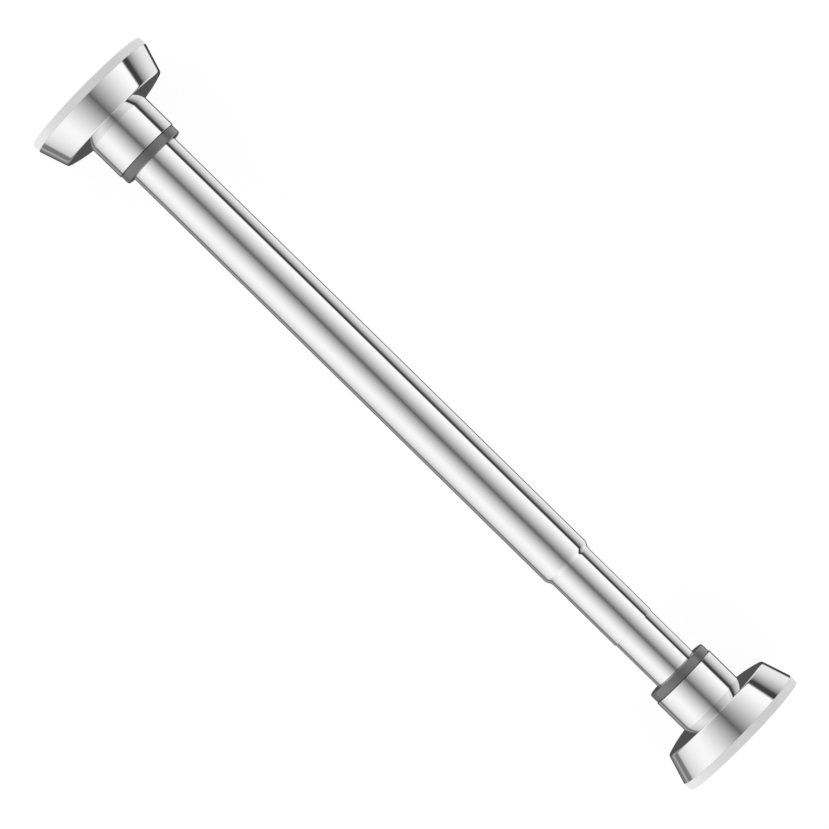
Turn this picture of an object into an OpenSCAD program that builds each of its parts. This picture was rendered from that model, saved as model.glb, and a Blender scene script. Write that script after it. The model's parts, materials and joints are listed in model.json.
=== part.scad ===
// Telescopic tension rod, wedged between two walls of a wardrobe or a coat niche.
// An outer tube, an inner tube held by a twist lock, and a sprung end stub run between two wall bases,
// and each base swivels on its tube end, so that the rod can be twisted while the pads stay still.
// The rod lies along +X, and the origin is the centre of the first wall face. Millimetres.

/* [Tubes] */
// Outside diameter of the outer tube
outer_d = 25; // [24.6:0.1:26]
// Wall of the outer tube
outer_wall = 0.5; // [0.4:0.05:0.6]
// Length of the outer tube that shows between its base and its mouth
outer_show = 253; // [230:1:300]
// Step in radius from the outer tube down to the inner tube
tube_step = 1.35; // [1.2:0.05:1.7]
// Wall of the inner tube
inner_wall = 0.35; // [0.3:0.05:0.5]
// Length of the inner tube that shows outside the outer tube, as it lies
inner_show = 38.2; // [30:1:60]
// How far the inner tube can still slide in, as it lies
slide_in = 20; // [10:1:30]
// Wall of the end stub
stub_wall = 0.35; // [0.3:0.05:0.5]
// Length of the end stub that still shows when it is pushed right in
stub_left = 3.8; // [2:0.2:12]
// Length of the end stub that stays inside the inner tube
stub_lap = 34.7; // [25:1:45]
// Length over which the mouth of the outer tube is drawn in
lip_length = 3.3; // [2.4:0.1:4]

/* [Wall bases] */
// Diameter of the wall pad
pad_d = 65.6; // [60:0.2:66]
// Thickness of the wall pad
pad_t = 4; // [3:0.5:6]
// How far the flared cover stands out past the pad's edge
cover_lip = 0.1; // [0.05:0.05:2]
// Length of the cover's cone, from the pad to its rim
cover_depth = 13.1; // [12:0.1:16]
// Diameter of the cover at its rim
rim_d = 57.4; // [54:0.5:60]
// Radius of the soft edge round the rim
rim_round = 1.1; // [0.6:0.1:1.6]
// Rise of the domed face from the rim to the collar
dome_rise = 2.8; // [2.4:0.1:4]
// Radius of the domed face, seen in section
dome_radius = 62; // [30:1:90]
// Thickness of the cover's sheet
cover_sheet = 0.7; // [0.5:0.1:1]
// How far the collar stands out past the trim ring
collar_stand = 0.4; // [0.3:0.05:0.8]
// Wall of the collar
collar_wall = 0.6; // [0.4:0.1:0.8]
// Length of the collar that shows
collar_show = 16.9; // [14:0.1:22]
// How far the trim ring stands out past the outer tube
ring_stand = 3.25; // [3:0.05:4]
// Straight length of the trim ring that shows
ring_show = 3.8; // [3:0.1:7]
// Length of the ring's rounded nose
ring_nose = 0.9; // [0.5:0.1:1.2]
// How far the nose's crest lies inside the ring's outer radius
ring_crest = 2.4; // [1.6:0.1:2.6]
// How far the nose falls back from its crest to the tube
ring_dish = 0.55; // [0.3:0.05:0.8]

/* [Base inside] */
// Thickness of the disc behind the pad
core_disc = 2.5; // [2:0.5:3.5]
// Diameter of the hub that carries the pivot screw
hub_d = 17; // [16:0.5:20]
// Number of ribs under the cover
ribs = 8; // [6:1:12]
// Thickness of a rib
rib_t = 1.6; // [1.2:0.2:2.4]
// Wall of the socket inside the collar
socket_wall = 1.3; // [1:0.1:1.6]
// Length of the trim ring's spigot inside the collar
spigot_length = 6.4; // [5:0.2:8]
// Diameter of the pivot screw's shoulder
pivot_d = 6; // [5:0.5:7]
// Diameter of the pivot screw's thread
thread_d = 5; // [4:0.5:5]
// Length of the pivot screw's thread
thread_length = 14; // [10:1:14]
// Diameter of the pivot screw's head
head_d = 10.4; // [10:0.2:11]
// Thickness of the pivot screw's head
head_t = 3; // [2.5:0.25:3.25]
// Thickness of the washers on the pivot screw
washer_t = 0.8; // [0.6:0.1:1.2]

/* [Twist lock] */
// Offset of the lock's journal from the rod's axis
cam_offset = 0.5; // [0.3:0.05:0.6]
// Diameter of the lock's journal
journal_d = 15; // [13:0.5:15.5]
// Length of the lock shoe
shoe_length = 11.6; // [9:0.2:14]
// Width of the slit in the lock shoe
shoe_slit = 2.5; // [1.5:0.5:4]
// Length of the cam plug inside the inner tube
cam_plug_length = 18; // [14:1:24]
// Length of the guide sleeve inside the mouth
mouth_sleeve_length = 15; // [10:1:18]
// Length of the guide sleeve on the inner tube's tail
tail_sleeve_length = 10; // [8:1:14]

/* [Spring] */
// Length of the spring, as it lies
spring_length = 104; // [98:1:110]
// Mean diameter of the spring's coils
spring_d = 16; // [14:0.5:17]
// Diameter of the spring's wire
wire_d = 2; // [1.4:0.2:2.2]
// Number of turns in the spring
turns = 20; // [14:1:24]
// Travel of the end stub against the spring
spring_travel = 22; // [15:1:22]
// Diameter of the guide rod through the spring
guide_d = 6; // [5:0.5:7]
// Thickness of the spring seat
seat_t = 8; // [7:0.5:12]
// Depth of the bead rolled into the inner tube to hold the spring seat
bead_depth = 0.6; // [0.4:0.1:0.8]
// Width of that bead
bead_width = 3; // [2:0.5:4]

/* [Hidden] */
$fn = 96;

// Radial clearances: of a pressed piece, of tubes that slide, and of a base that swivels
press_gap = 0.05;
slide_gap = 0.05;
swivel_gap = 0.1;
// Clearance between flat faces that run on each other
face_gap = 0.05;
// How far a cut runs past the face that it opens
cut = 1;
// The pad's wall side: land at the centre, groove spacing, groove width and groove depth
pad_land = 8;
groove_pitch = 5.5;
groove_w = 1.8;
groove_depth = 0.9;
// The tongue that holds the pad in the core: radius, width and height
tongue_r = 24;
tongue_w = 2.4;
tongue_h = 1.8;
// Land between the grooves and the pad's edge
pad_margin = 2.5;

// Heights in a base, from the wall face
z_rim = pad_t + cover_depth;
z_dome = z_rim + dome_rise;
z_collar = z_dome + collar_show;
z_ring = z_collar + ring_show;
base_depth = z_ring + ring_nose;
z_disc = pad_t + core_disc;
// The hub's bearing face, its end wall, and the end of the socket round the tube
hub_drop = 1;
hub_top = z_dome - hub_drop;
end_wall = 2.5;
socket_spare = 0.2;
z_socket = z_collar - spigot_length - socket_spare;
// The pivot screw's head, sunk in a pocket of the hub that the pad covers, and the washer's rim round it
head_sink = 1;
washer_rim = 0.6;
pocket_gap = 1.1;
pocket_depth = head_sink + head_t + washer_t + 2 * face_gap;
z_pocket = pad_t + pocket_depth;
z_head_washer = z_pocket - face_gap - washer_t;
z_head = z_head_washer - face_gap - head_t;
z_thrust = hub_top + face_gap;
z_plug = z_thrust + washer_t + face_gap;
plug_flange = 1.5;
z_tube = z_plug + plug_flange;
z_screw_end = z_plug + thread_length;
// Spare depth of a screw hole past the screw, and the plug's length past the hole
hole_spare = 1.5;
plug_end = 4;
z_plug_end = z_screw_end + hole_spare + plug_end;
// Depth of the guide rod in the stub's plug
guide_grip = 10;

// Radii
pad_r = pad_d / 2;
cover_r = pad_r + cover_lip;
rim_r = rim_d / 2;
outer_r = outer_d / 2;
ring_r = outer_r + ring_stand;
collar_r = ring_r + collar_stand;
collar_in = collar_r - collar_wall;
socket_r = collar_in - press_gap;
outer_in = outer_r - outer_wall;
inner_r = outer_r - tube_step;
inner_in = inner_r - inner_wall;
stub_r = inner_in - slide_gap;
stub_in = stub_r - stub_wall;

// Width of the cone's sheet across the rod, for each millimetre of its thickness
slant = norm([cover_depth, cover_r - rim_r]) / cover_depth;
// Width of the cover's inner corner, and of the stretch of dome that its soft rim blends into
inner_corner = 0.6;
rim_blend = 2;

// Middle of the circle that the domed face follows in section
dome_middle = arc_middle([rim_r, z_rim], [collar_r, z_dome], dome_radius);

// The collar's foot, under the cover's dome
foot_width = 2.6;
foot_r = collar_r + foot_width;
foot_t = 0.6;
z_foot = dome_height(foot_r) - cover_sheet - foot_t - 2 * press_gap;

// Places along the rod
mouth_x = base_depth + outer_show;
inner_mouth_x = mouth_x + inner_show;
stub_show = spring_travel + stub_left;
rod_length = inner_mouth_x + stub_show + base_depth;
stub_tail_x = inner_mouth_x - stub_lap;
stub_plug_x = rod_length - z_plug_end - guide_grip;
seat_x = stub_plug_x - spring_length;
bead_x = seat_x - seat_t / 2;
lip_x = mouth_x - lip_length;
// The twist lock, from its screw's head to the inner tube's tail
tail_room = 3.1;
cam_washer_t = 1;
cam_washer_rim = 1.2;
cam_head_r = 4;
cam_head_t = 2.6;
cam_cross_w = 0.8;
cam_thread_r = 2;
cam_screw_grip = 12;
cam_flange = 1.6;
journal_clearance = 2 * cam_offset * sin(45) + slide_gap;
journal_r = journal_d / 2;
cam_head_x = z_plug_end + tail_room + slide_in;
cam_washer_x = cam_head_x + cam_head_t + face_gap;
journal_x = cam_washer_x + cam_washer_t + face_gap;
shoe_x = journal_x + face_gap;
inner_tail_x = shoe_x + shoe_length + 3 * face_gap + cam_flange;
// Bare end of the inner tube's tail behind its sleeve, and spare room in the seat's groove beside the bead
tail_land = 2;
bead_spare = 0.2;
// The nut and washer on the guide rod's tail
guide_nut_flats = 10;
guide_nut_t = 5;
guide_washer_r = 6.5;
guide_washer_t = 1.2;
guide_tail = 1.5;
// The spring's centreline: points in a turn, and sides of the wire
turn_points = 8;
wire_sides = 6;

// Middle of the circle of a given radius through two points of a section, on its inner side
function arc_middle(a, b, radius) =
    let (half = (b - a) / 2, across = [half[1], -half[0]] / norm(half))
    (a + b) / 2 + across * sqrt(radius * radius - half * half) * (across[1] < 0 ? 1 : -1);

// Height of the domed face above the wall at a given radius
function dome_height(r) =
    dome_middle[1] + sqrt(dome_radius * dome_radius - (r - dome_middle[0]) * (r - dome_middle[0]));

// Radius of the cone at a given height above the wall
function cone_radius(z) = cover_r + (rim_r - cover_r) * (z - pad_t) / cover_depth;

// A soft corner at b between a and c, cut back by a length on both sides
function soft_corner(a, b, c, cut, steps = 6) =
    let (p = b + (a - b) / norm(a - b) * cut, q = b + (c - b) / norm(c - b) * cut)
    [for (i = [0 : steps]) let (t = i / steps) (1 - t) * (1 - t) * p + 2 * t * (1 - t) * b + t * t * q];

// Points along the domed face from the rim inwards, lowered by a given thickness
function dome_points(from_r, to_r, lower, steps = 8) =
    [for (i = [0 : steps]) let (r = from_r + (to_r - from_r) * i / steps) [r, dome_height(r) - lower]];

// The cover's outside in section, from the pad to the collar
function cover_outside(hole_r) = concat(
    [[cover_r, pad_t]],
    soft_corner([cover_r, pad_t], [rim_r, z_rim], [rim_r - rim_blend, dome_height(rim_r - rim_blend)],
                rim_round),
    dome_points(rim_r - rim_blend, hole_r, 0));

// The cover's inside in section, from the collar to the pad, a given distance inside its outer face
function cover_inside(hole_r, inset) = concat(
    dome_points(hole_r, rim_r - inset - inner_corner, inset),
    [[cone_radius(z_rim - inset - inner_corner) - inset * slant, z_rim - inset - inner_corner]],
    [[cover_r - inset * slant, pad_t]]);

// Turns a section drawn as radius and height about the rod's axis, with the height along +X
module turned(points) {
    rotate([0, 90, 0]) rotate_extrude() polygon(points);
}

// A round bar along +X
module bar(r, x0, x1) {
    translate([x0, 0, 0]) rotate([0, 90, 0]) cylinder(r = r, h = x1 - x0);
}

// A plain ring along +X
module hoop(r_out, r_in, x0, x1) {
    difference() {
        bar(r_out, x0, x1);
        bar(r_in, x0 - cut, x1 + cut);
    }
}

// Places a base part at the far wall, facing back
module far_wall() {
    translate([rod_length, 0, 0]) mirror([1, 0, 0]) children();
}

// Wall pad of soft grey rubber, grooved on the wall side, with a tongue that holds it in the core
module wall_pad() {
    color([0.84, 0.84, 0.84]) difference() {
        union() {
            bar(pad_r, 0, pad_t);
            hoop(tongue_r + tongue_w / 2, tongue_r - tongue_w / 2, pad_t / 2, pad_t + tongue_h);
        }
        for (r = [pad_land + groove_w : groove_pitch : pad_r - pad_margin - groove_w])
            hoop(r + groove_w / 2, r - groove_w / 2, -cut, groove_depth);
    }
}

// Moulded core: disc behind the pad, hub, socket for the tube end, and ribs under the cover
module base_core() {
    inset = cover_sheet * slant + press_gap;
    color([0.30, 0.31, 0.32]) difference() {
        union() {
            turned([[0, pad_t], [cone_radius(pad_t) - inset, pad_t], [cone_radius(z_disc) - inset, z_disc],
                    [0, z_disc]]);
            bar(hub_d / 2, pad_t, hub_top);
            bar(socket_r, hub_top - end_wall, hub_top);
            hoop(socket_r, socket_r - socket_wall, pad_t, z_socket);
            core_ribs();
        }
        hoop(tongue_r + tongue_w / 2 + press_gap, tongue_r - tongue_w / 2 - press_gap, pad_t - cut,
             pad_t + tongue_h + press_gap);
        bar(head_d / 2 + pocket_gap, pad_t - cut, z_pocket);
        bar(pivot_d / 2 + swivel_gap, pad_t, hub_top + cut);
    }
}

// The core's ribs, trimmed to the inside of the cover and below the collar's foot
module core_ribs() {
    inset = cover_sheet + press_gap;
    intersection() {
        for (i = [0 : ribs - 1])
            rotate([i * 360 / ribs, 0, 0]) translate([pad_t, socket_r - socket_wall / 2, -rib_t / 2])
                cube([z_dome - pad_t, rim_r, rib_t]);
        turned(concat([[0, pad_t], [0, z_foot - press_gap], [foot_r + 2 * press_gap, z_foot - press_gap]],
                      cover_inside(foot_r + 2 * press_gap, inset)));
    }
}

// Flared chrome cover, a thin shell with a cone, a soft rim and a domed face
module flange_cover() {
    hole_r = collar_r + press_gap;
    color([0.86, 0.87, 0.88]) turned(concat(cover_outside(hole_r), cover_inside(hole_r, cover_sheet)));
}

// Chrome collar, a sleeve with a turned-out foot under the cover and a soft edge at the ring
module collar() {
    edge = 0.35;
    color([0.86, 0.87, 0.88]) turned(concat(
        [[collar_in, z_foot], [foot_r, z_foot], [foot_r, z_foot + foot_t], [collar_r, z_foot + foot_t]],
        soft_corner([collar_r, z_foot], [collar_r, z_collar], [collar_in, z_collar], edge, 4),
        [[collar_in, z_collar]]));
}

// Dark trim ring with a rounded nose, and a spigot inside the collar, running on a tube of a given radius
module trim_ring(tube_r) {
    bore = tube_r + swivel_gap;
    crest = [ring_r - ring_crest, base_depth];
    color([0.34, 0.34, 0.35]) turned(concat(
        [[bore, z_collar - spigot_length], [socket_r, z_collar - spigot_length],
         [socket_r, z_collar], [ring_r, z_collar]],
        quarter([ring_r, z_ring], crest),
        reverse(quarter([bore, base_depth - ring_dish], crest))));
}

// A quarter of an oval in section, from its side to its crest
function quarter(side, crest, steps = 8) =
    [for (i = [0 : steps]) let (t = 90 * i / steps)
        [crest[0] + (side[0] - crest[0]) * cos(t), side[1] + (crest[1] - side[1]) * sin(t)]];

// Shoulder screw that a base swivels on, with a hexagon socket in its head
module pivot_screw() {
    socket_flats = 4;
    color([0.70, 0.71, 0.72]) difference() {
        union() {
            bar(head_d / 2, z_head, z_head + head_t);
            bar(pivot_d / 2, z_head, z_plug - face_gap);
            bar(thread_d / 2, z_head, z_screw_end);
        }
        translate([z_head - cut, 0, 0]) rotate([0, 90, 0])
            cylinder(r = socket_flats / sqrt(3), h = cut + head_t * 0.6, $fn = 6);
    }
}

// Steel washer under the pivot screw's head
module head_washer() {
    color([0.75, 0.76, 0.77])
        hoop(head_d / 2 + washer_rim, pivot_d / 2 + swivel_gap, z_head_washer, z_head_washer + washer_t);
}

// Slippery washer between the hub and the plug in the tube
module thrust_washer() {
    color([0.92, 0.92, 0.90]) hoop(stub_in, pivot_d / 2 + swivel_gap, z_thrust, z_thrust + washer_t);
}

// Plug pressed into a tube end, with a flange over the end and a hole for the pivot screw
module end_plug(tube_in, tube_out, z_end) {
    difference() {
        union() {
            bar(tube_out, z_plug, z_tube);
            bar(tube_in - press_gap, z_plug, z_end);
        }
        bar(thread_d / 2 + press_gap, z_plug - cut, z_screw_end + hole_spare);
    }
}

module tube_plug() {
    color([0.20, 0.21, 0.22]) end_plug(outer_in, outer_r, z_plug_end);
}

// The stub's plug is longer, with a second hole that grips the guide rod
module stub_plug() {
    color([0.20, 0.21, 0.22]) far_wall() difference() {
        end_plug(stub_in, stub_r, z_plug_end + guide_grip);
        bar(guide_d / 2 + press_gap, z_plug_end, z_plug_end + guide_grip + cut);
    }
}

// Outer tube, with its mouth drawn in to the inner tube
module outer_tube() {
    lip_r = inner_r + 3 * slide_gap;
    edge_r = inner_r + slide_gap;
    color([0.86, 0.87, 0.88]) turned(concat(
        [[outer_in, z_tube], [outer_r, z_tube]],
        drawn_in(outer_r, lip_r),
        reverse(drawn_in(outer_in, edge_r))));
}

// Half a wave in section, from one radius to another over the length of the drawn-in mouth
function drawn_in(from_r, to_r, steps = 10) =
    [for (i = [0 : steps]) let (t = i / steps)
        [from_r + (to_r - from_r) * (1 - cos(180 * t)) / 2, lip_x + lip_length * t]];

function reverse(list) = [for (i = [len(list) - 1 : -1 : 0]) list[i]];

// Inner tube, with a bead rolled in round the spring seat
module inner_tube() {
    color([0.86, 0.87, 0.88]) turned(concat(
        [[inner_in, inner_tail_x], [inner_r, inner_tail_x]], bead_line(inner_r), [[inner_r, inner_mouth_x]],
        [[inner_in, inner_mouth_x]], reverse(bead_line(inner_in))));
}

// The rolled bead in section: a wave that dips below a given radius
function bead_line(r, steps = 8) =
    [for (i = [0 : steps]) let (t = i / steps)
        [r - bead_depth * (1 - cos(360 * t)) / 2, bead_x + (t - 0.5) * bead_width]];

// Sprung end stub, the smallest tube
module end_stub() {
    color([0.86, 0.87, 0.88]) hoop(stub_r, stub_in, stub_tail_x, rod_length - z_tube);
}

// Guide sleeve inside the outer tube, behind its drawn-in mouth
module mouth_sleeve() {
    front = lip_x - 4 * face_gap;
    color([0.93, 0.93, 0.91])
        hoop(outer_in - press_gap, inner_r + slide_gap, front - mouth_sleeve_length, front);
}

// Guide sleeve fixed on the inner tube's tail
module tail_sleeve() {
    tail = inner_tail_x + tail_land;
    color([0.93, 0.93, 0.91])
        hoop(outer_in - swivel_gap, inner_r + press_gap / 2, tail, tail + tail_sleeve_length);
}

// Split shoe of the twist lock: its bore is off centre, so that the journal wedges it against the tube
module lock_shoe() {
    color([0.93, 0.93, 0.91]) difference() {
        bar(outer_in - swivel_gap, shoe_x, shoe_x + shoe_length);
        translate([0, 0, -cam_offset])
            bar(journal_r + journal_clearance, shoe_x - cut, shoe_x + shoe_length + cut);
        translate([shoe_x - cut, -shoe_slit / 2, 0]) cube([shoe_length + 2 * cut, shoe_slit, outer_r]);
    }
}

// Plug in the inner tube's tail, with the journal of the twist lock
module cam_plug() {
    color([0.20, 0.21, 0.22]) difference() {
        union() {
            bar(inner_in - press_gap, inner_tail_x - cam_flange, inner_tail_x + cam_plug_length);
            bar(inner_r, inner_tail_x - cam_flange, inner_tail_x - face_gap);
            translate([0, cam_offset, 0]) bar(journal_r, journal_x, inner_tail_x - cam_flange / 2);
        }
        translate([0, cam_offset, 0])
            bar(cam_thread_r + press_gap, journal_x - cut, journal_x + cam_screw_grip + hole_spare);
    }
}

// Washer that keeps the shoe on its journal
module cam_washer() {
    color([0.75, 0.76, 0.77]) translate([0, cam_offset, 0])
        hoop(journal_r + journal_clearance + cam_washer_rim, cam_thread_r + press_gap,
             cam_washer_x, cam_washer_x + cam_washer_t);
}

module cam_screw() {
    cross_r = cam_head_r * 0.6;
    color([0.70, 0.71, 0.72]) translate([0, cam_offset, 0]) difference() {
        union() {
            bar(cam_head_r, cam_head_x, cam_head_x + cam_head_t);
            bar(cam_thread_r, cam_head_x + cam_head_t / 2, journal_x + cam_screw_grip);
        }
        for (turn = [0, 90])
            rotate([turn, 0, 0]) translate([cam_head_x - cut, -cross_r, -cam_cross_w / 2])
                cube([cut + cam_head_t / 2, 2 * cross_r, cam_cross_w]);
    }
}

// Seat that the spring bears on, held by the bead in the inner tube
module spring_seat() {
    groove_r = inner_in - bead_depth - press_gap;
    color([0.20, 0.21, 0.22]) difference() {
        bar(inner_in - press_gap, seat_x - seat_t, seat_x);
        hoop(inner_r, groove_r, bead_x - bead_width / 2 - bead_spare, bead_x + bead_width / 2 + bead_spare);
        bar(guide_d / 2 + swivel_gap, seat_x - seat_t - cut, seat_x + cut);
    }
}

// Point on the spring's centreline, a given number of turns from the seat
function spring_point(n) =
    let (rise = spring_length - wire_d - 2 * face_gap)
    [seat_x + wire_d / 2 + face_gap + rise * n / turns,
     spring_d / 2 * cos(360 * n),
     spring_d / 2 * sin(360 * n)];

// Points round the spring's wire, square to its helix, a given number of turns from the seat
function wire_ring(n) =
    let (a = 360 * n,
         lead = atan(spring_length / turns / (PI * spring_d)),
         out = [0, cos(a), sin(a)],
         side = [cos(lead), sin(lead) * sin(a), -sin(lead) * cos(a)])
    [for (k = [0 : wire_sides - 1])
        let (b = 360 * k / wire_sides) spring_point(n) + wire_d / 2 * (cos(b) * out + sin(b) * side)];

// Compression spring: one round wire swept along its helix
module tension_spring() {
    rings = turns * turn_points;
    last = rings * wire_sides;
    points = [for (i = [0 : rings]) each wire_ring(i / turn_points)];
    start = [for (k = [1 : wire_sides - 2]) [0, k, k + 1]];
    end = [for (k = [1 : wire_sides - 2]) [last, last + k + 1, last + k]];
    walls = [for (i = [0 : rings - 1], k = [0 : wire_sides - 1]) each
        let (a = i * wire_sides, b = a + wire_sides, next = (k + 1) % wire_sides)
        [[a + k, b + k, b + next], [a + k, b + next, a + next]]];
    color([0.55, 0.56, 0.58]) polyhedron(points, concat(start, end, walls));
}

// Rod through the spring, which keeps it straight and holds the stub in
module guide_rod() {
    tail = seat_x - seat_t - 2 * face_gap - guide_washer_t - guide_nut_t - guide_tail;
    color([0.70, 0.71, 0.72]) bar(guide_d / 2, tail, stub_plug_x + guide_grip - face_gap);
}

module guide_washer() {
    x = seat_x - seat_t - face_gap - guide_washer_t;
    color([0.75, 0.76, 0.77]) hoop(guide_washer_r, guide_d / 2 + press_gap, x, x + guide_washer_t);
}

module guide_nut() {
    x = seat_x - seat_t - 2 * face_gap - guide_washer_t - guide_nut_t;
    color([0.75, 0.76, 0.77]) difference() {
        translate([x, 0, 0]) rotate([0, 90, 0])
            cylinder(r = guide_nut_flats / sqrt(3), h = guide_nut_t, $fn = 6);
        bar(guide_d / 2 + press_gap, x - cut, x + guide_nut_t + cut);
    }
}

// Least gap between the spring's wire and its next turn, measured on points of its centreline
spring_gap = min([for (i = [0 : (turns - 1) * turn_points], j = [turn_points - 2 : turn_points + 2])
    norm(spring_point((i + j) / turn_points) - spring_point(i / turn_points))]) - wire_d;
echo(str("Least gap in the spring: ", spring_gap, " mm"));

wall_pad();  // pad_a
base_core();  // core_a
flange_cover();  // cover_a
collar();  // collar_a
trim_ring(outer_r);  // trim_ring_a
far_wall() wall_pad();  // pad_b
far_wall() base_core();  // core_b
far_wall() flange_cover();  // cover_b
far_wall() collar();  // collar_b
far_wall() trim_ring(stub_r);  // trim_ring_b
outer_tube();
inner_tube();
end_stub();
tube_plug();
stub_plug();
pivot_screw();  // pivot_screw_a
far_wall() pivot_screw();  // pivot_screw_b
head_washer();  // head_washer_a
far_wall() head_washer();  // head_washer_b
thrust_washer();  // thrust_washer_a
far_wall() thrust_washer();  // thrust_washer_b
mouth_sleeve();
tail_sleeve();
lock_shoe();
cam_plug();
cam_washer();
cam_screw();
spring_seat();
tension_spring();
guide_rod();
guide_washer();
guide_nut();
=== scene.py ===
"""Telescopic tension rod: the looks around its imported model.

Chrome tubes, collars and flared covers, satin grey trim rings and pale rubber wall pads, on a white floor
in a studio of soft panels. Lengths in metres, angles in degrees, the rod along +X.
"""

import json
from math import atan, cos, degrees, hypot, pi, radians, sin, sqrt, tan

import bmesh
import bpy
from mathutils import Matrix, Vector


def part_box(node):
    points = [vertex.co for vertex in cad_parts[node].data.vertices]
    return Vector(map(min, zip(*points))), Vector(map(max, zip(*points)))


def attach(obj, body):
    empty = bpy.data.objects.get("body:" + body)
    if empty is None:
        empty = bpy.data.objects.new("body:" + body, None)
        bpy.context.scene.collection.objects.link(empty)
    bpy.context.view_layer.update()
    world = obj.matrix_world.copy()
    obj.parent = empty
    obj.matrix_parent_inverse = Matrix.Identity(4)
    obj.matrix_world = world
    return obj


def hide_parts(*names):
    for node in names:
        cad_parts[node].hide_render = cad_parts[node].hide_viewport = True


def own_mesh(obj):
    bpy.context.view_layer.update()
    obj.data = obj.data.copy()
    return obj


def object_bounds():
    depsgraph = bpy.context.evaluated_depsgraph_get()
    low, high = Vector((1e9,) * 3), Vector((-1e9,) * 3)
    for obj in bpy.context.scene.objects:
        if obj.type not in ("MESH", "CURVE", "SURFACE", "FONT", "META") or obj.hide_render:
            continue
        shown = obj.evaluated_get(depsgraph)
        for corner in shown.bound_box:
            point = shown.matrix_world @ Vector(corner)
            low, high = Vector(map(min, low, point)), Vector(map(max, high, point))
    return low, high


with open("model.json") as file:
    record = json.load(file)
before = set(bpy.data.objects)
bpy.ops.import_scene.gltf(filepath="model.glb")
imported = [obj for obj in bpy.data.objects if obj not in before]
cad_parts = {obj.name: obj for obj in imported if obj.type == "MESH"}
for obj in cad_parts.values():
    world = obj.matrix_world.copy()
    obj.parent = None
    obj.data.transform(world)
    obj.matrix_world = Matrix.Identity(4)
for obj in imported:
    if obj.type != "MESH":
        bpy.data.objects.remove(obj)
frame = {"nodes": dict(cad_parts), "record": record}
cad_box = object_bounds()

MM = 0.001


# Sizes that the frame gives

def ends(node):
    """Where a node starts and ends along the rod."""
    low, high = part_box(node)
    return low[0], high[0]


def radius(node):
    """Outer radius of a round node."""
    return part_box(node)[1][1]


ROD_LENGTH = cad_box[1][0]
PAD_BACK = ends("cover_a")[0]
COVER_TOP = ends("cover_a")[1]
COLLAR_END = ends("collar_a")[1]
RING_START, RING_END = ends("trim_ring_a")
TUBE_START, MOUTH = ends("outer_tube")
INNER_TAIL, INNER_MOUTH = ends("inner_tube")
STUB_TAIL, STUB_END = ends("end_stub")
SEAT_START, SEAT_END = ends("spring_seat")

# Details finer than the frame's, each a real size

TURN_STEPS = 192
SHARP_ANGLE = 40
ARC_STEP = 10
FEWEST_ARC_STEPS = 3
EDGE_SUPPORT = 0.06 * MM
MERGE_DISTANCE = 0.001 * MM

RIM_RADIUS = 28.7 * MM
RIM_HEIGHT = 17.1 * MM
RIM_ROUND = 1.3 * MM
RIM_BLEND = 2 * MM
DOME_RADIUS = 62 * MM
DOME_STEPS = 14
COVER_SHEET = 0.7 * MM
COVER_EDGE_ROUND = 0.08 * MM
COVER_HOLE_GAP = 0.03 * MM

COLLAR_RADIUS = 16.15 * MM
COLLAR_WALL = 0.6 * MM
COLLAR_FOOT = 2.6 * MM
COLLAR_FOOT_SHEET = 0.6 * MM
COLLAR_EDGE_ROUND = 0.2 * MM
COLLAR_BORE_ROUND = COLLAR_EDGE_ROUND / 3

RING_RADIUS = 15.75 * MM
RING_CREST_RADIUS = 13.6 * MM
RING_SHOULDER_FALL = 0.15 * MM
RING_SHOULDER_ROUND = 0.8 * MM
RING_CREST_ROUND = 1 * MM
RING_DISH = 0.5 * MM
RING_LINE_WIDTH = 0.45 * MM
RING_LINE_DEPTH = 0.9 * MM
RING_EDGE_ROUND = 0.08 * MM
PRESS_GAP = 0.05 * MM
SWIVEL_GAP = 0.1 * MM

OUTER_WALL = 0.5 * MM
THIN_WALL = 0.35 * MM
LIP_LENGTH = 3.3 * MM
LIP_STEPS = 12
LIP_GAP = 0.05 * MM
TUBE_EDGE_ROUND = 0.15 * MM
TUBE_BORE_ROUND = TUBE_EDGE_ROUND / 3
BEAD_MIDDLE = (SEAT_START + SEAT_END) / 2
BEAD_WIDTH = 3 * MM
BEAD_DEPTH = 0.6 * MM
BEAD_STEPS = 16

TREAD_LAND = 9.8 * MM
TREAD_PITCH = 5.5 * MM
TREAD_GROOVES = 4
TREAD_WIDTH = 1.8 * MM
TREAD_DEPTH = 0.9 * MM
TONGUE_RADIUS = 24 * MM
TONGUE_WIDTH = 2.4 * MM
TONGUE_HEIGHT = 1.8 * MM
PAD_EDGE_ROUND = 0.5 * MM
PAD_BACK_ROUND = 0.08 * MM
TREAD_ROUND = 0.25 * MM

SPRING_RADIUS = 8 * MM
SPRING_LENGTH = 104 * MM
SPRING_GAP = 0.05 * MM
SPRING_TURNS = 20
SPRING_STEPS = 40
WIRE_RADIUS = 1 * MM
WIRE_SIDES = 12


# Making turned pieces

def rounded(corners):
    """An outline from corners (x, r, round): an arc for each round one, and a close point on both sides."""
    line = []
    for i, (x, r, fillet) in enumerate(corners):
        point = Vector((x, r))
        if not fillet:
            line.append(point)
            continue
        before = (Vector(corners[i - 1][:2]) - point).normalized()
        after = (Vector(corners[(i + 1) % len(corners)][:2]) - point).normalized()
        half = before.angle(after) / 2
        middle = point + (before + after).normalized() * fillet / sin(half)
        back = fillet / tan(half)
        spoke = point + before * back - middle
        turn = spoke.angle_signed(point + after * back - middle)
        steps = max(FEWEST_ARC_STEPS, round(abs(degrees(turn)) / ARC_STEP))
        line.append(point + before * (back + EDGE_SUPPORT))
        line += [middle + Matrix.Rotation(-turn * k / steps, 2) @ spoke for k in range(steps + 1)]
        line.append(point + after * (back + EDGE_SUPPORT))
    return line


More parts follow.
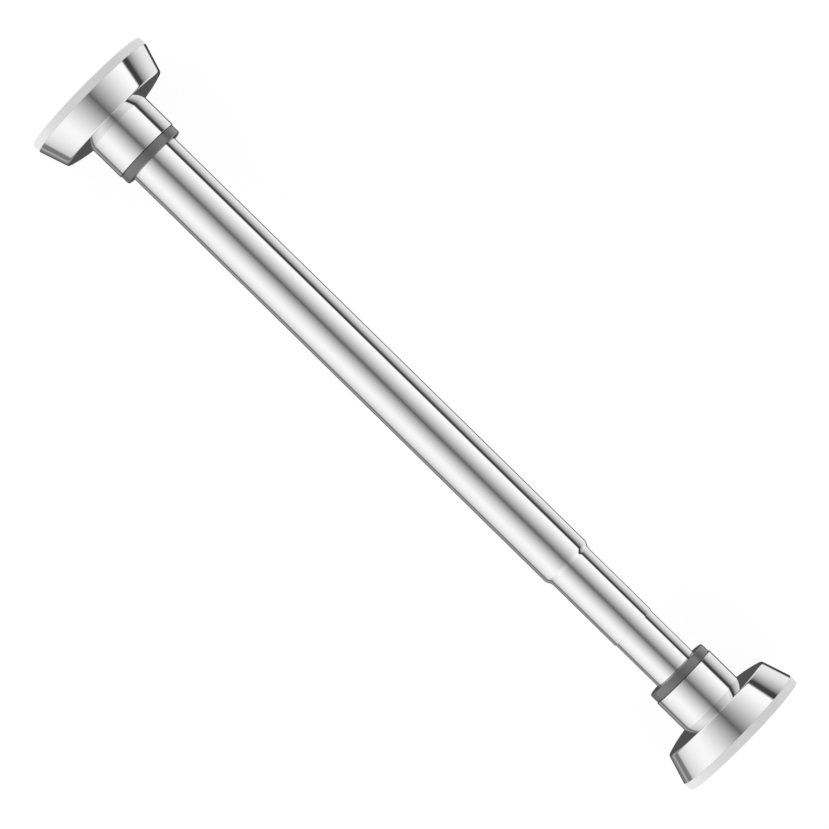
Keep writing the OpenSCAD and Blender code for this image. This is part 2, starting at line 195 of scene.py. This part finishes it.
def new_piece(name, bm):
    """Closes a mesh, turns its faces outwards and makes it a smooth piece."""
    bmesh.ops.remove_doubles(bm, verts=bm.verts, dist=MERGE_DISTANCE)
    bmesh.ops.recalc_face_normals(bm, faces=bm.faces)
    mesh = bpy.data.meshes.new(name)
    bm.to_mesh(mesh)
    bm.free()
    mesh.shade_smooth()
    mesh.set_sharp_from_angle(angle=radians(SHARP_ANGLE))
    piece = bpy.data.objects.new(name, mesh)
    bpy.context.scene.collection.objects.link(piece)
    return piece


def turned(name, outline, closed=True):
    """Spins an outline of (x, r) about the rod; an outline that isn't closed starts and ends on the axis."""
    bm = bmesh.new()
    line = [bm.verts.new((x, r, 0)) for x, r in outline]
    edges = [bm.edges.new(pair) for pair in zip(line, line[1:])]
    if closed:
        edges.append(bm.edges.new((line[-1], line[0])))
    bmesh.ops.spin(bm, geom=line + edges, cent=(0, 0, 0), axis=(1, 0, 0), dvec=(0, 0, 0), angle=2 * pi,
                   steps=TURN_STEPS, use_merge=True)
    return new_piece(name, bm)


def on_wall(side, outline):
    """Places an outline of (height, r) on the first wall or, facing back, on the second."""
    return [(h, r) if side == "a" else (ROD_LENGTH - h, r) for h, r in outline]


def dress(piece, body, slot, material, *nodes):
    """Gives a piece its body and finish, and lets it stand for CAD nodes."""
    piece.data.materials.append(material)
    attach(piece, body)
    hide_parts(*nodes)


# Wall bases

def wall_pad(side):
    """Rubber pad: ring grooves on the wall side, soft edges, and the tongue that holds it in the core."""
    pad_r = radius("pad_a")
    corners = [(0, 0, 0)]
    for i in range(TREAD_GROOVES):
        middle = TREAD_LAND + i * TREAD_PITCH
        near, far = middle - TREAD_WIDTH / 2, middle + TREAD_WIDTH / 2
        corners += [(0, near, TREAD_ROUND), (TREAD_DEPTH, near, TREAD_ROUND),
                    (TREAD_DEPTH, far, TREAD_ROUND), (0, far, TREAD_ROUND)]
    near, far = TONGUE_RADIUS - TONGUE_WIDTH / 2, TONGUE_RADIUS + TONGUE_WIDTH / 2
    corners += [(0, pad_r, PAD_EDGE_ROUND), (PAD_BACK, pad_r, PAD_BACK_ROUND),
                (PAD_BACK, far, 0), (PAD_BACK + TONGUE_HEIGHT, far, TREAD_ROUND),
                (PAD_BACK + TONGUE_HEIGHT, near, TREAD_ROUND), (PAD_BACK, near, 0), (PAD_BACK, 0, 0)]
    return turned(f"wall_pad_{side}", on_wall(side, rounded(corners)), closed=False)


def dome_middle():
    """Middle of the arc that the domed face follows, from the rim to the collar."""
    rim = Vector((RIM_HEIGHT, RIM_RADIUS))
    foot = Vector((COVER_TOP, COLLAR_RADIUS))
    half = (foot - rim) / 2
    square = Vector((half.y, -half.x)).normalized()
    return rim + half + square * sqrt(DOME_RADIUS ** 2 - half.length ** 2)


def dome_height(r, lower=0):
    """Height of the domed face at a radius, or of a face a sheet's thickness below it."""
    middle = dome_middle()
    return middle.x + sqrt((DOME_RADIUS - lower) ** 2 - (r - middle.y) ** 2)


def flange_cover(side):
    """Flared cover, a thin shell with a cone, a soft rim and a domed face that meets the collar."""
    wide = radius("cover_a")
    hole = COLLAR_RADIUS + COVER_HOLE_GAP
    first = RIM_RADIUS - RIM_BLEND
    radii = [first + (hole - first) * i / DOME_STEPS for i in range(DOME_STEPS + 1)]
    cone = RIM_HEIGHT - PAD_BACK
    slope = hypot(cone, wide - RIM_RADIUS) / cone
    inner_wide = wide - COVER_SHEET * slope
    inner_rim = RIM_HEIGHT - COVER_SHEET
    inner_rim_r = RIM_RADIUS - COVER_SHEET * slope + COVER_SHEET * (wide - RIM_RADIUS) / cone
    outside = [(PAD_BACK, wide, COVER_EDGE_ROUND), (RIM_HEIGHT, RIM_RADIUS, RIM_ROUND)]
    outside += [(dome_height(r), r, 0) for r in radii]
    inside = [(dome_height(r, COVER_SHEET), r, 0) for r in reversed(radii[1:])]
    inside += [(inner_rim, inner_rim_r, RIM_ROUND - COVER_SHEET), (PAD_BACK, inner_wide, 0)]
    return turned(f"flange_cover_{side}", on_wall(side, rounded(outside + inside)))


def collar(side):
    """Collar: a sleeve with a turned-out foot under the cover and a soft edge at the ring."""
    foot = ends("collar_a")[0]
    bore = COLLAR_RADIUS - COLLAR_WALL
    foot_r = COLLAR_RADIUS + COLLAR_FOOT
    corners = [(foot, bore, 0), (foot, foot_r, 0), (foot + COLLAR_FOOT_SHEET, foot_r, 0),
               (foot + COLLAR_FOOT_SHEET, COLLAR_RADIUS, 0), (COLLAR_END, COLLAR_RADIUS, COLLAR_EDGE_ROUND),
               (COLLAR_END, bore, COLLAR_BORE_ROUND)]
    return turned(f"collar_{side}", on_wall(side, rounded(corners)))


def trim_ring(side, tube_radius):
    """Trim ring: a groove at the collar, a nose that dishes in to the tube, and a spigot in the collar."""
    bore = tube_radius + SWIVEL_GAP
    spigot = COLLAR_RADIUS - COLLAR_WALL - PRESS_GAP
    groove = RING_RADIUS - RING_LINE_DEPTH
    groove_end = COLLAR_END + RING_LINE_WIDTH
    corners = [(RING_START, bore, 0), (RING_START, spigot, 0), (COLLAR_END, spigot, 0),
               (COLLAR_END, groove, 0), (groove_end, groove, 0), (groove_end, RING_RADIUS, RING_EDGE_ROUND),
               (RING_END - RING_SHOULDER_FALL, RING_RADIUS, RING_SHOULDER_ROUND),
               (RING_END, RING_CREST_RADIUS, RING_CREST_ROUND), (RING_END - RING_DISH, bore, RING_EDGE_ROUND)]
    return turned(f"trim_ring_{side}", on_wall(side, rounded(corners)))


# Tubes

def drawn_in(start, from_r, to_r):
    """Points of a mouth that is drawn in: half a wave from one radius to another."""
    return [(start + LIP_LENGTH * k / LIP_STEPS, from_r + (to_r - from_r) * (1 - cos(pi * k / LIP_STEPS)) / 2)
            for k in range(LIP_STEPS + 1)]


def outer_tube():
    """Outer tube with its mouth drawn in until it almost touches the inner tube."""
    out = radius("outer_tube")
    bore = out - OUTER_WALL
    start = MOUTH - LIP_LENGTH
    tip = radius("inner_tube") + LIP_GAP
    outside = drawn_in(start, out, tip + 2 * LIP_GAP)
    inside = drawn_in(start, bore, tip)
    outline = [(TUBE_START, bore), (TUBE_START, out), (start - EDGE_SUPPORT, out), *outside, *inside[::-1]]
    return turned("outer_tube_drawn_in", outline)


def bead(r):
    """Points of the bead: a wave that dips below a radius."""
    return [(BEAD_MIDDLE + (k / BEAD_STEPS - 0.5) * BEAD_WIDTH,
             r - BEAD_DEPTH * (1 - cos(2 * pi * k / BEAD_STEPS)) / 2, 0) for k in range(BEAD_STEPS + 1)]


def inner_tube():
    """Inner tube with the bead that holds the spring seat, and a deburred mouth."""
    out = radius("inner_tube")
    bore = out - THIN_WALL
    corners = [(INNER_TAIL, bore, 0), (INNER_TAIL, out, TUBE_EDGE_ROUND), *bead(out),
               (INNER_MOUTH, out, TUBE_EDGE_ROUND), (INNER_MOUTH, bore, TUBE_BORE_ROUND),
               *bead(bore)[::-1]]
    return turned("inner_tube_beaded", rounded(corners))


def end_stub():
    """Last and thinnest tube, sprung out of the inner tube."""
    out = radius("end_stub")
    bore = out - THIN_WALL
    corners = [(STUB_TAIL, bore, 0), (STUB_TAIL, out, TUBE_EDGE_ROUND), (STUB_END, out, TUBE_EDGE_ROUND),
               (STUB_END, bore, 0)]
    return turned("end_stub_tube", rounded(corners))


# Spring

def tension_spring():
    """Compression spring: a round wire turned up its helix between the seat and the stub's plug."""
    start = SEAT_END + SPRING_GAP + WIRE_RADIUS
    rise = SPRING_LENGTH - 2 * (WIRE_RADIUS + SPRING_GAP)
    lead = atan(rise / SPRING_TURNS / (2 * pi * SPRING_RADIUS))
    steps = SPRING_TURNS * SPRING_STEPS
    bm = bmesh.new()
    place = Matrix.Translation((start, SPRING_RADIUS, 0)) @ Matrix.Rotation(lead, 4, "Y")
    bmesh.ops.create_circle(bm, cap_ends=True, segments=WIRE_SIDES, radius=WIRE_RADIUS, matrix=place)
    bmesh.ops.spin(bm, geom=bm.verts[:] + bm.edges[:] + bm.faces[:], cent=(0, 0, 0), axis=(1, 0, 0),
                   dvec=(rise / steps, 0, 0), angle=2 * pi * SPRING_TURNS, steps=steps)
    return new_piece("spring_wire", bm)


# Shader helpers

def node(tree, kind, sockets=None, **settings):
    """A node with its settings, and its sockets given values or linked to other sockets."""
    made = tree.nodes.new(kind)
    for key, value in settings.items():
        setattr(made, key, value)
    for key, value in (sockets or {}).items():
        if isinstance(value, bpy.types.NodeSocket):
            tree.links.new(value, made.inputs[key])
        else:
            made.inputs[key].default_value = value
    return made


def maths(tree, operation, *values):
    """The result of a Math node."""
    return node(tree, "ShaderNodeMath", dict(enumerate(values)), operation=operation).outputs[0]


def ramp(tree, value, low, high, to_low, to_high, smooth=False):
    """A value mapped from one range to another, and held at its ends."""
    kind = "SMOOTHSTEP" if smooth else "LINEAR"
    return node(tree, "ShaderNodeMapRange", {0: value, 1: low, 2: high, 3: to_low, 4: to_high},
                interpolation_type=kind).outputs[0]


def blend(tree, share, first, second):
    """A value between two values, by the share of the second."""
    return node(tree, "ShaderNodeMix", {"Factor": share, 2: first, 3: second}, data_type="FLOAT").outputs[0]


def new_group(name, inputs, outputs):
    """An empty shader group with named sockets."""
    group = bpy.data.node_groups.new(name, "ShaderNodeTree")
    for label, kind, value in inputs:
        socket = group.interface.new_socket(label, in_out="INPUT", socket_type=kind)
        if value is not None:
            socket.default_value = value
    for label, kind in outputs:
        group.interface.new_socket(label, in_out="OUTPUT", socket_type=kind)
    return group, group.nodes.new("NodeGroupInput").outputs, group.nodes.new("NodeGroupOutput").inputs


FLOAT = "NodeSocketFloat"
VECTOR = "NodeSocketVector"
COLOR = "NodeSocketColor"

MM_IN_METRE = 1000.0
# Share of the fine specks in the polish marks, and the noise level where marks start and where they are full
SPECK_SHARE = 0.25
MARKS_START = 0.5
MARKS_FULL = 0.85
# How far the turning lines wander, in lines
LINE_DRIFT = 0.6


def make_marks_group():
    """Polish marks: broad smudges and fine specks that make a finish duller here and there."""
    group, given, out = new_group(
        "polish_marks",
        [("Vector", VECTOR, None), ("Clean", FLOAT, 0.04), ("Dull", FLOAT, 0.1), ("Size mm", FLOAT, 25.0)],
        [("Roughness", FLOAT)])
    scale = maths(group, "DIVIDE", MM_IN_METRE, given["Size mm"])
    smudge = node(group, "ShaderNodeTexNoise", {"Vector": given["Vector"], "Scale": scale, "Detail": 5.0,
                                                "Roughness": 0.6})
    fine = node(group, "ShaderNodeTexNoise", {"Vector": given["Vector"], "Scale": 900.0, "Detail": 2.0})
    both = maths(group, "MULTIPLY_ADD", fine.outputs[0], SPECK_SHARE, smudge.outputs[0])
    mask = ramp(group, both, MARKS_START, MARKS_FULL, 0.0, 1.0, smooth=True)
    group.links.new(ramp(group, mask, 0.0, 1.0, given["Clean"], given["Dull"]), out["Roughness"])
    return group


def make_lines_group():
    """Turning lines: fine rings round the rod, as a lathe or a polishing wheel leaves them."""
    group, given, out = new_group(
        "turning_lines", [("Vector", VECTOR, None), ("Lines per mm", FLOAT, 4.0)], [("Height", FLOAT)])
    split = node(group, "ShaderNodeSeparateXYZ", {0: given["Vector"]})
    per_metre = maths(group, "MULTIPLY", given["Lines per mm"], MM_IN_METRE)
    along = maths(group, "MULTIPLY", split.outputs[0], per_metre)
    drift = node(group, "ShaderNodeTexNoise", {"Vector": given["Vector"], "Scale": 60.0, "Detail": 1.0})
    wander = maths(group, "MULTIPLY_ADD", drift.outputs[0], LINE_DRIFT, along)
    line = node(group, "ShaderNodeTexNoise", {"W": wander, "Scale": 1.0, "Detail": 3.0},
                noise_dimensions="1D")
    group.links.new(line.outputs[0], out["Height"])
    return group


def make_grain_group():
    """Moulded grain: a fine pebbled height, and specks of lighter and darker tone."""
    group, given, out = new_group(
        "moulded_grain",
        [("Vector", VECTOR, None), ("Grain mm", FLOAT, 0.25), ("Color", COLOR, (0.5, 0.5, 0.5, 1)),
         ("Speck", FLOAT, 0.1), ("Cloud", FLOAT, 0.05)],
        [("Color", COLOR), ("Height", FLOAT)])
    scale = maths(group, "DIVIDE", MM_IN_METRE, given["Grain mm"])
    pebble = node(group, "ShaderNodeTexNoise", {"Vector": given["Vector"], "Scale": scale, "Detail": 3.0,
                                                "Roughness": 0.65})
    cloud = node(group, "ShaderNodeTexNoise", {"Vector": given["Vector"], "Scale": 45.0, "Detail": 3.0})
    speck = maths(group, "MULTIPLY", maths(group, "SUBTRACT", pebble.outputs[0], 0.5), given["Speck"])
    drift = maths(group, "MULTIPLY", maths(group, "SUBTRACT", cloud.outputs[0], 0.5), given["Cloud"])
    tone = maths(group, "ADD", maths(group, "ADD", speck, drift), 1.0)
    shade = node(group, "ShaderNodeVectorMath", {0: given["Color"], "Scale": tone}, operation="SCALE")
    group.links.new(shade.outputs[0], out["Color"])
    group.links.new(pebble.outputs[0], out["Height"])
    return group


MARKS = make_marks_group()
LINES = make_lines_group()
GRAIN = make_grain_group()


def finish(name, color, metallic, roughness, **more):
    """A material with its surface shader, and the piece's own coordinates to draw on."""
    material = bpy.data.materials.new(name)
    material.use_nodes = True
    material.diffuse_color = (*color, 1)
    tree = material.node_tree
    shader = tree.nodes["Principled BSDF"]
    values = {"Base Color": (*color, 1), "Metallic": metallic, "Roughness": roughness, **more}
    for key, value in values.items():
        shader.inputs[key].default_value = value
    return material, tree, shader, node(tree, "ShaderNodeTexCoord").outputs["Object"]


def grouped(tree, group, **sockets):
    """A shared group placed in a material, with its own values."""
    made = tree.nodes.new("ShaderNodeGroup")
    made.node_tree = group
    for key, value in sockets.items():
        socket = made.inputs[key.replace("_", " ")]
        if isinstance(value, bpy.types.NodeSocket):
            tree.links.new(value, socket)
        else:
            socket.default_value = value
    return made.outputs


def raise_surface(tree, shader, height, depth):
    """Bumps a shader's surface by a height, a given depth in metres at full strength."""
    bump = node(tree, "ShaderNodeBump", {"Height": height, "Distance": depth, "Strength": 1.0})
    tree.links.new(bump.outputs[0], shader.inputs["Normal"])


def grained(tree, shader, place, color, grain_mm, speck, cloud):
    """Draws moulded grain on a shader's colour, and gives the grain's height."""
    grain = grouped(tree, GRAIN, Vector=place, Grain_mm=grain_mm, Color=(*color, 1), Speck=speck, Cloud=cloud)
    tree.links.new(grain["Color"], shader.inputs["Base Color"])
    return grain["Height"]


def marked(tree, shader, place, clean, dull, size_mm):
    """Draws polish marks on a shader's roughness."""
    marks = grouped(tree, MARKS, Vector=place, Clean=clean, Dull=dull, Size_mm=size_mm)
    tree.links.new(marks["Roughness"], shader.inputs["Roughness"])


def lined(tree, place, lines_per_mm):
    """Height of the turning lines."""
    return grouped(tree, LINES, Vector=place, Lines_per_mm=lines_per_mm)["Height"]


# Finishes, each with its base colour

CHROME_GREY = (0.78, 0.78, 0.78)
PAD_GREY = (0.72, 0.72, 0.72)
RING_GREY = (0.098, 0.098, 0.098)
CORE_BLACK = (0.06, 0.062, 0.065)
PLUG_BLACK = (0.022, 0.023, 0.025)
SLEEVE_CREAM = (0.82, 0.81, 0.77)
ZINC_GREY = (0.66, 0.67, 0.68)
WIRE_GREY = (0.3, 0.3, 0.31)


def chrome():
    """Bright chrome plate on polished steel."""
    material, tree, shader, place = finish("chrome", CHROME_GREY, metallic=1.0, roughness=0.05)
    marked(tree, shader, place, clean=0.035, dull=0.075, size_mm=22.0)
    raise_surface(tree, shader, lined(tree, place, lines_per_mm=3.0), depth=0.0002 * MM)
    return material


def pad_rubber():
    """Soft light grey rubber, with a fine speckle and a matt skin."""
    material, tree, shader, place = finish("pad_rubber", PAD_GREY, metallic=0.0, roughness=0.7)
    height = grained(tree, shader, place, PAD_GREY, grain_mm=0.5, speck=0.16, cloud=0.06)
    raise_surface(tree, shader, height, depth=0.02 * MM)
    return material


def ring_plastic():
    """Satin dark grey moulded plastic, hard and slightly glossy."""
    material, tree, shader, place = finish("ring_plastic", RING_GREY, metallic=0.0, roughness=0.26, IOR=1.9)
    height = grained(tree, shader, place, RING_GREY, grain_mm=0.2, speck=0.12, cloud=0.1)
    raise_surface(tree, shader, height, depth=0.008 * MM)
    return material


def core_plastic():
    """Dark moulded plastic with a coarse grain."""
    material, tree, shader, place = finish("core_plastic", CORE_BLACK, metallic=0.0, roughness=0.5)
    height = grained(tree, shader, place, CORE_BLACK, grain_mm=0.35, speck=0.3, cloud=0.2)
    raise_surface(tree, shader, height, depth=0.02 * MM)
    return material


def plug_nylon():
    """Black filled nylon with a slight sheen."""
    material, tree, shader, place = finish("plug_nylon", PLUG_BLACK, metallic=0.0, roughness=0.4)
    height = grained(tree, shader, place, PLUG_BLACK, grain_mm=0.3, speck=0.6, cloud=0.3)
    raise_surface(tree, shader, height, depth=0.012 * MM)
    return material


def sleeve_acetal():
    """Waxy natural acetal, burnished a little where it slides."""
    material, tree, shader, place = finish("sleeve_acetal", SLEEVE_CREAM, metallic=0.0, roughness=0.35)
    grained(tree, shader, place, SLEEVE_CREAM, grain_mm=1.2, speck=0.04, cloud=0.08)
    marked(tree, shader, place, clean=0.28, dull=0.45, size_mm=8.0)
    raise_surface(tree, shader, lined(tree, place, lines_per_mm=5.0), depth=0.004 * MM)
    return material


def zinc_steel():
    """Zinc plated steel, slightly cloudy, with turning lines."""
    material, tree, shader, place = finish("zinc_steel", ZINC_GREY, metallic=1.0, roughness=0.3)
    grained(tree, shader, place, ZINC_GREY, grain_mm=0.8, speck=0.1, cloud=0.25)
    marked(tree, shader, place, clean=0.22, dull=0.42, size_mm=3.0)
    raise_surface(tree, shader, lined(tree, place, lines_per_mm=8.0), depth=0.003 * MM)
    return material


def spring_steel():
    """Drawn spring wire, dark and faintly oiled."""
    material, tree, shader, place = finish("spring_steel", WIRE_GREY, metallic=1.0, roughness=0.32)
    height = grained(tree, shader, place, WIRE_GREY, grain_mm=0.4, speck=0.2, cloud=0.4)
    marked(tree, shader, place, clean=0.24, dull=0.45, size_mm=2.0)
    raise_surface(tree, shader, height, depth=0.006 * MM)
    return material


FINISHES = {make.__name__: make() for make in (chrome, pad_rubber, ring_plastic, core_plastic, plug_nylon,
                                               sleeve_acetal, zinc_steel, spring_steel)}


def dress_base(side, tube_radius):
    """Makes and dresses the pieces of one wall base."""
    body = f"base_{side}"
    dress(wall_pad(side), body, "pad_rubber", FINISHES["pad_rubber"], f"pad_{side}")
    dress(flange_cover(side), body, "chrome", FINISHES["chrome"], f"cover_{side}")
    dress(collar(side), body, "chrome", FINISHES["chrome"], f"collar_{side}")
    dress(trim_ring(side, tube_radius), body, "ring_plastic", FINISHES["ring_plastic"], f"trim_ring_{side}")


def dress_cad_nodes():
    """Gives every CAD node the finish of its slot in the record."""
    for part in frame["record"]["subparts"]:
        slots = frame["nodes"][part["node"]].material_slots
        for slot in slots:
            slot.material = FINISHES[part["material_slot"]]


# Studio

CAMERA_TURN = 44.43
CAMERA_HEIGHT = 2.3
PHOTO_PIXELS = 829
PIXEL = 0.4345 * MM
ROD_CENTRE_PIXEL = (415, 413.8)
SENSOR_MM = 36
CAMERA_REACH = 50


def add_camera():
    """Looks straight down at the rod, turned so that it runs from the upper left to the lower right."""
    turn = radians(CAMERA_TURN)
    right = Vector((cos(turn), sin(turn), 0))
    up = Vector((-sin(turn), cos(turn), 0))
    middle = PHOTO_PIXELS / 2
    aim = Vector((ROD_LENGTH / 2, 0, 0))
    aim -= (ROD_CENTRE_PIXEL[0] - middle) * PIXEL * right + (middle - ROD_CENTRE_PIXEL[1]) * PIXEL * up
    data = bpy.data.cameras.new("camera")
    data.sensor_width = SENSOR_MM
    data.lens = SENSOR_MM * CAMERA_HEIGHT / (PHOTO_PIXELS * PIXEL)
    data.clip_end = CAMERA_REACH
    camera = bpy.data.objects.new("camera", data)
    camera.location = aim + Vector((0, 0, CAMERA_HEIGHT))
    camera.rotation_euler = (0, 0, turn)
    bpy.context.scene.collection.objects.link(camera)
    bpy.context.scene.camera = camera


FLOOR_SIZE = 12
FLOOR_GREY = 0.2
FLOOR_GLOW = 0.86


def add_floor():
    """A white floor under the covers, which shows the rod's faint shadow and isn't mirrored in the chrome."""
    bm = bmesh.new()
    place = Matrix.Translation((ROD_LENGTH / 2, 0, -radius("cover_a")))
    bmesh.ops.create_grid(bm, x_segments=1, y_segments=1, size=FLOOR_SIZE / 2, matrix=place)
    floor = new_piece("floor", bm)
    material = bpy.data.materials.new("white_floor")
    material.use_nodes = True
    tree = material.node_tree
    tree.nodes.clear()
    matt = node(tree, "ShaderNodeBsdfDiffuse", {"Color": (FLOOR_GREY, FLOOR_GREY, FLOOR_GREY, 1)})
    glow = node(tree, "ShaderNodeEmission", {"Color": (FLOOR_GLOW, FLOOR_GLOW, FLOOR_GLOW, 1)})
    both = node(tree, "ShaderNodeAddShader", {0: matt.outputs[0], 1: glow.outputs[0]})
    node(tree, "ShaderNodeOutputMaterial", {"Surface": both.outputs[0]})
    floor.data.materials.append(material)
    floor.visible_glossy = False
    floor.visible_diffuse = False


# Level of the room between the panels, and of the white behind the rod
ROOM_LEVEL = 0.06
BACKDROP_LEVEL = 1.0
# Soft panels round the rod, the right being the rod's upper right side in the picture. Each has its side, and
# then the values of the soft panel group, with its angles in degrees off straight up
PANEL_VALUES = ("First", "Last", "Dim at", "Bright at", "Dim", "Bright", "Curve", "First edge", "Last edge")
PANELS = {
    "right ceiling": (1, 0, 78, 0, 69, 0.16, 1.24, 1.35, 3.5, 3.0),
    "right wall": (1, 90, 152, 88, 137, 0.07, 1.01, 2.1, 3.0, 3.5),
    "left ceiling": (-1, 0, 67, 0, 67, 0.16, 1.2, 1.5, 3.5, 3.5),
    "left wall": (-1, 67, 123.5, 123.5, 67, 0.7, 1.2, 1.8, 3.5, 4.0),
    "left low wall": (-1, 123.5, 162, 123.5, 162, 0.23, 0.23, 1.0, 4.0, 6.0),
    "left low strip": (-1, 139, 149, 139, 149, 0.27, 0.27, 1.0, 2.5, 2.5),
}
# How much the panels spread out towards the rod's ends
PANEL_SPREAD = 0.5
# Level of what lies past the rod's ends, and the lean of a surface to the rod's ends where it takes over
END_LEVEL = 0.095
END_FROM = 0.77
END_TO = 0.89
# Plain light on matt surfaces: its level from above, what the left and the right add, and what is lost at the
# lower left, with the angles over which each of the three grows
PLAIN_TOP = 0.62
PLAIN_LEFT = 0.9
PLAIN_RIGHT = 0.52
PLAIN_LOW_LEFT = 1.0
LEFT_ANGLES = (-10.0, -75.0)
RIGHT_ANGLES = (10.0, 75.0)
LOW_LEFT_ANGLES = (-90.0, -170.0)


def make_panel_group():
    """One soft panel: its level over the angles that it covers, which fades at both edges."""
    group, given, out = new_group(
        "soft_panel", [(label, FLOAT, 0.0) for label in ("Angle", *PANEL_VALUES)], [("Level", FLOAT)])
    share = ramp(group, given["Angle"], given["Dim at"], given["Bright at"], 0.0, 1.0)
    fall = maths(group, "POWER", maths(group, "SUBTRACT", 1.0, share), given["Curve"])
    rise = maths(group, "SUBTRACT", 1.0, fall)
    level = ramp(group, rise, 0.0, 1.0, given["Dim"], given["Bright"])
    start = ramp(group, given["Angle"], maths(group, "SUBTRACT", given["First"], given["First edge"]),
                 maths(group, "ADD", given["First"], given["First edge"]), 0.0, 1.0, smooth=True)
    stop = ramp(group, given["Angle"], maths(group, "SUBTRACT", given["Last"], given["Last edge"]),
                maths(group, "ADD", given["Last"], given["Last edge"]), 1.0, 0.0, smooth=True)
    mask = maths(group, "MULTIPLY", start, stop)
    lift = maths(group, "SUBTRACT", level, ROOM_LEVEL)
    group.links.new(maths(group, "MULTIPLY", mask, lift), out["Level"])
    return group


def half_way(tree, way):
    """Parts of the direction half way between a direction and straight up."""
    way = node(tree, "ShaderNodeVectorMath", {0: way}, operation="NORMALIZE").outputs[0]
    middle = node(tree, "ShaderNodeVectorMath", {0: way, 1: (0, 0, 1)}, operation="ADD").outputs[0]
    middle = node(tree, "ShaderNodeVectorMath", {0: middle}, operation="NORMALIZE").outputs[0]
    return list(node(tree, "ShaderNodeSeparateXYZ", {0: middle}).outputs)


def add_studio():
    """The studio: white behind the rod, plain light on matt surfaces, and panels that the chrome mirrors."""
    panel = make_panel_group()
    world = bpy.data.worlds.new("studio")
    bpy.context.scene.world = world
    world.use_nodes = True
    tree = world.node_tree
    tree.nodes.clear()
    way = node(tree, "ShaderNodeTexCoord").outputs["Generated"]
    x = half_way(tree, way)[0]
    short = node(tree, "ShaderNodeVectorMath", {0: way, 1: (PANEL_SPREAD, 1, 1)}, operation="MULTIPLY")
    y, z = half_way(tree, short.outputs[0])[1:]
    angle = maths(tree, "MULTIPLY", maths(tree, "DEGREES", maths(tree, "ARCTAN2", y, z)), 2.0)
    level = ROOM_LEVEL
    for side, *values in PANELS.values():
        off_top = maths(tree, "MULTIPLY", angle, float(side))
        given = dict(zip(PANEL_VALUES, map(float, values)))
        level = maths(tree, "ADD", level, grouped(tree, panel, Angle=off_top, **given)["Level"])
    end = ramp(tree, maths(tree, "ABSOLUTE", x), END_FROM, END_TO, 0.0, 1.0, smooth=True)
    mirrored = blend(tree, end, level, END_LEVEL)
    left = ramp(tree, angle, *LEFT_ANGLES, PLAIN_TOP, PLAIN_TOP + PLAIN_LEFT, smooth=True)
    right = ramp(tree, angle, *RIGHT_ANGLES, 0.0, PLAIN_RIGHT, smooth=True)
    low_left = ramp(tree, angle, *LOW_LEFT_ANGLES, 0.0, PLAIN_LOW_LEFT, smooth=True)
    plain = maths(tree, "SUBTRACT", maths(tree, "ADD", left, right), low_left)
    rays = node(tree, "ShaderNodeLightPath").outputs
    seen = blend(tree, rays["Is Diffuse Ray"], mirrored, plain)
    shown = blend(tree, rays["Is Camera Ray"], seen, BACKDROP_LEVEL)
    background = node(tree, "ShaderNodeBackground", {"Color": shown})
    node(tree, "ShaderNodeOutputWorld", {"Surface": background.outputs[0]})
    bpy.context.scene.view_settings.view_transform = "Standard"


# The whole rod

dress_cad_nodes()
dress_base("a", radius("outer_tube"))
dress_base("b", radius("end_stub"))
dress(outer_tube(), "outer_tube", "chrome", FINISHES["chrome"], "outer_tube")
dress(inner_tube(), "inner_tube", "chrome", FINISHES["chrome"], "inner_tube")
dress(end_stub(), "end_stub", "chrome", FINISHES["chrome"], "end_stub")
spring = tension_spring()
dress(spring, "inner_tube", "spring_steel", FINISHES["spring_steel"], "tension_spring")
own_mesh(spring)

add_floor()
add_studio()
add_camera()
